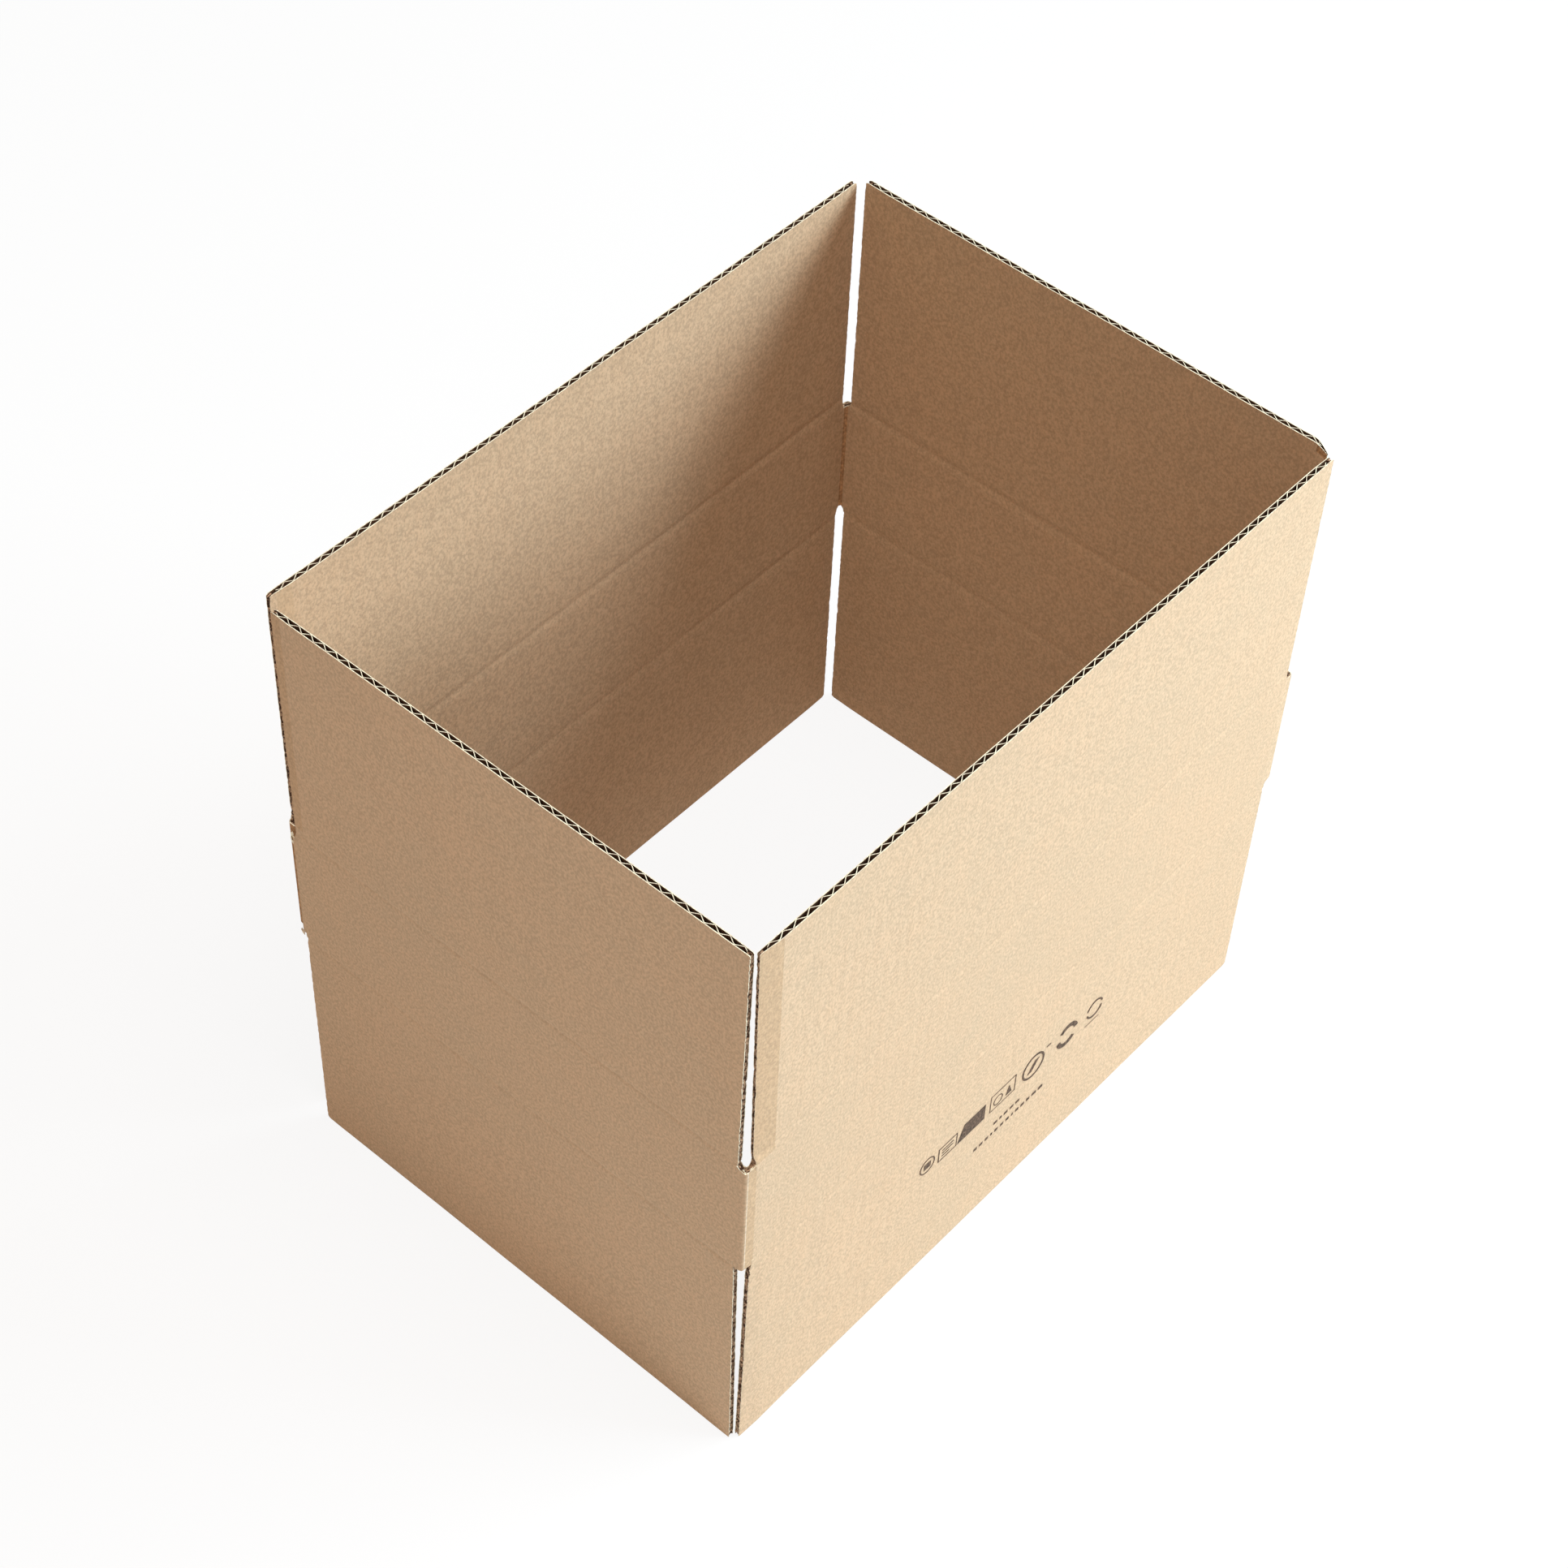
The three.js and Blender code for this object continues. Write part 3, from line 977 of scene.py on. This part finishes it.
class Print:
    def __init__(self):
        self.mesh = bmesh.new()

    def outline(self, points):
        """A closed patch of ink, points as x and z in millimetres on the front face."""
        front = -HALF_WIDTH + FACE - INK_THICKNESS
        outer = [self.mesh.verts.new(Vector((x, front, z)) * MM) for x, z in points]
        inner = [self.mesh.verts.new(Vector((x, front + INK_THICKNESS * 1.5, z)) * MM) for x, z in points]
        self.mesh.faces.new(outer)
        self.mesh.faces.new(inner[::-1])
        for number in range(len(points)):
            after = (number + 1) % len(points)
            self.mesh.faces.new([outer[after], outer[number], inner[number], inner[after]])

    def bar(self, x, z, width, height):
        self.outline([(x, z), (x + width, z), (x + width, z + height), (x, z + height)])

    def ring(self, x, z, radius, line, start=0, end=360):
        sweep = [math.radians(angle) for angle in steps(start, end, RING_STEPS)]
        for here, there in zip(sweep, sweep[1:]):
            inside = radius - line
            self.outline([
                (x + radius * math.cos(here), z + radius * math.sin(here)),
                (x + radius * math.cos(there), z + radius * math.sin(there)),
                (x + inside * math.cos(there), z + inside * math.sin(there)),
                (x + inside * math.cos(here), z + inside * math.sin(here)),
            ])

    def frame(self, x, z, width, height, line):
        self.bar(x, z, width, line)
        self.bar(x, z + height - line, width, line)
        self.bar(x, z + line, line, height - 2 * line)
        self.bar(x + width - line, z + line, line, height - 2 * line)

    def row(self, x, z, widths, height, gap):
        for width in widths:
            self.bar(x, z, width, height)
            x += width + gap


def build_print():
    ink = Print()
    z = ROW_HEIGHT
    ink.ring(-58, z + 2.5, 5.0, 0.6)
    ink.bar(-60.2, z + 0.6, 4.4, 3.8)
    ink.frame(-50.5, z - 3.5, 12.5, 9.5, 0.5)
    ink.bar(-48, z + 2.8, 7.5, 0.5)
    ink.bar(-48, z + 0.8, 7.5, 0.5)
    ink.bar(-48, z - 1.2, 5.0, 0.5)
    ink.outline([(-37.5, z - 3.5), (-19, z - 3.5), (-19, z + 7), (-33.5, z + 7)])
    ink.frame(-15.5, z - 3.5, 17.5, 11.5, 0.45)
    ink.ring(-10.0, z + 1.4, 3.2, 0.5)
    ink.outline([(-4.6, z - 1.5), (-0.4, z - 1.5), (-2.5, z + 4.6)])
    ink.ring(14.5, z + 1.2, 7.8, 1.2)
    ink.outline([(10.5, z - 2), (13.5, z - 2), (18.5, z + 4.5), (15.5, z + 4.5)])
    ink.bar(23.2, z + 6.0, 3.0, 0.7)
    ink.ring(38.5, z + 0.4, 7.4, 2.6, 10, 140)
    ink.ring(38.5, z + 0.4, 7.4, 2.6, 190, 320)
    ink.ring(58.3, z + 0.6, 5.8, 1.0, 15, 165)
    ink.ring(58.3, z + 0.6, 5.8, 1.0, 195, 345)
    ink.bar(52.5, z - 8.2, 10.0, 0.35)
    ink.row(-11.0, BAR_HEIGHTS[0], BAR_WIDTHS[0], 1.7, 1.5)
    ink.row(-24.0, BAR_HEIGHTS[1], BAR_WIDTHS[1], 1.8, 1.6)
    mesh = bpy.data.meshes.new("front_print")
    ink.mesh.to_mesh(mesh)
    ink.mesh.free()
    mesh.materials.append(kraft("brown_ink", INK_COLOUR, 0.55, relief_depth=0.05, roughness=0.8))
    piece = bpy.data.objects.new("front_print", mesh)
    bpy.context.scene.collection.objects.link(piece)
    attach(piece, "bottom_flap_front")


build_print()

# Floor
# A plain pale sheet just under the box. It shows white to the camera, and keeps a soft share of the box's
# shadow.
FLOOR_SHADOW = 0.12
FLOOR_SIZE = 8
FLOOR_DROP = 0.0002
bpy.ops.mesh.primitive_plane_add(size=FLOOR_SIZE, location=(0, 0, -FLOOR_DROP))
floor = bpy.context.object
floor.name = "floor"
ground = bpy.data.materials.new("pale_floor")
ground.use_nodes = True
tree = ground.node_tree
diffuse = tree.nodes["Principled BSDF"]
diffuse.inputs["Base Color"].default_value = (0.88, 0.88, 0.88, 1)
diffuse.inputs["Roughness"].default_value = 1.0
diffuse.inputs["Specular IOR Level"].default_value = 0.0
glow = tree.nodes.new("ShaderNodeEmission")


def seen_rays(tree):
    """1 for a ray that shows the picture's background, straight or through metal and glass."""
    rays = tree.nodes.new("ShaderNodeLightPath").outputs
    mirrored = shader_math(tree, "MAXIMUM", rays["Is Glossy Ray"], rays["Is Transmission Ray"])
    return shader_math(tree, "MAXIMUM", rays["Is Camera Ray"], mirrored)


mixed = tree.nodes.new("ShaderNodeMixShader")
tree.links.new(shader_math(tree, "MULTIPLY", seen_rays(tree), 1 - FLOOR_SHADOW), mixed.inputs[0])
tree.links.new(diffuse.outputs[0], mixed.inputs[1])
tree.links.new(glow.outputs[0], mixed.inputs[2])
tree.links.new(mixed.outputs[0], tree.nodes["Material Output"].inputs["Surface"])
floor.data.materials.append(ground)

# Light
# Four soft round lamps: two cool ones from the front and the right, one overhead and a weak warm one from
# the left. A weak warm world fills the rest.
world = bpy.data.worlds.new("studio")
bpy.context.scene.world = world
world.use_nodes = True
tree = world.node_tree
sky = tree.nodes["Background"]
sky.inputs["Color"].default_value = (1.0, 0.78, 0.62, 1)
sky.inputs["Strength"].default_value = 0.262
white = tree.nodes.new("ShaderNodeBackground")
white.inputs["Color"].default_value = (1, 1, 1, 1)
pick = tree.nodes.new("ShaderNodeMixShader")
tree.links.new(seen_rays(tree), pick.inputs[0])
tree.links.new(sky.outputs[0], pick.inputs[1])
tree.links.new(white.outputs[0], pick.inputs[2])
tree.links.new(pick.outputs[0], tree.nodes["World Output"].inputs["Surface"])


LAMP_AIM = Vector((0, 0, 0.16))


def soft_lamp(name, place, size, power, colour):
    data = bpy.data.lights.new(name, "AREA")
    data.shape = "DISK"
    data.size = size
    data.energy = power
    data.color = colour
    lamp = bpy.data.objects.new(name, data)
    lamp.location = place
    lamp.rotation_mode = "QUATERNION"
    lamp.rotation_quaternion = (LAMP_AIM - Vector(place)).to_track_quat("-Z", "Y")
    bpy.context.scene.collection.objects.link(lamp)


soft_lamp("key_lamp", (1.8, -1.2, 1.9), 1.0, 46, (0.77, 0.91, 1.0))
soft_lamp("front_lamp", (1.6, -2.2, 1.0), 1.0, 72, (0.67, 0.865, 1.0))
soft_lamp("top_lamp", (0.0, -0.5, 2.5), 1.2, 27, (1, 0.96, 0.92))
soft_lamp("left_lamp", (-1.8, -0.3, 1.7), 1.2, 10.5, (1, 0.86, 0.76))

# Camera
# It looks down at the box from in front of the near corner, rolled a little. Places are in millimetres and
# the focal length is in pixels of the full image.
scene = bpy.context.scene
scene.view_settings.view_transform = "Standard"
SENSOR = 36.0
IMAGE_SIZE = 1932
AZIMUTH = math.radians(-50.985)
ELEVATION = math.radians(48.863)
ROLL = math.radians(3.043)
FOCAL_PIXELS = 4112.441
AIM_RIGHT = 0.398
AIM_UP = -114.725
DISTANCE = 1556.426
back = Vector((
    math.sin(AZIMUTH) * math.cos(ELEVATION),
    -math.cos(AZIMUTH) * math.cos(ELEVATION),
    math.sin(ELEVATION),
))
level_right = Vector((0, 0, 1)).cross(back).normalized()
level_up = back.cross(level_right)
right = level_right * math.cos(ROLL) + level_up * math.sin(ROLL)
up = level_up * math.cos(ROLL) - level_right * math.sin(ROLL)
camera_data = bpy.data.cameras.new("camera")
camera_data.sensor_width = SENSOR
camera_data.lens = SENSOR * FOCAL_PIXELS / IMAGE_SIZE
camera = bpy.data.objects.new("camera", camera_data)
place = (back * DISTANCE - right * AIM_RIGHT - up * AIM_UP) * MM
camera.matrix_world = Matrix.Translation(place) @ Matrix((right, up, back)).transposed().to_4x4()
scene.collection.objects.link(camera)
scene.camera = camera
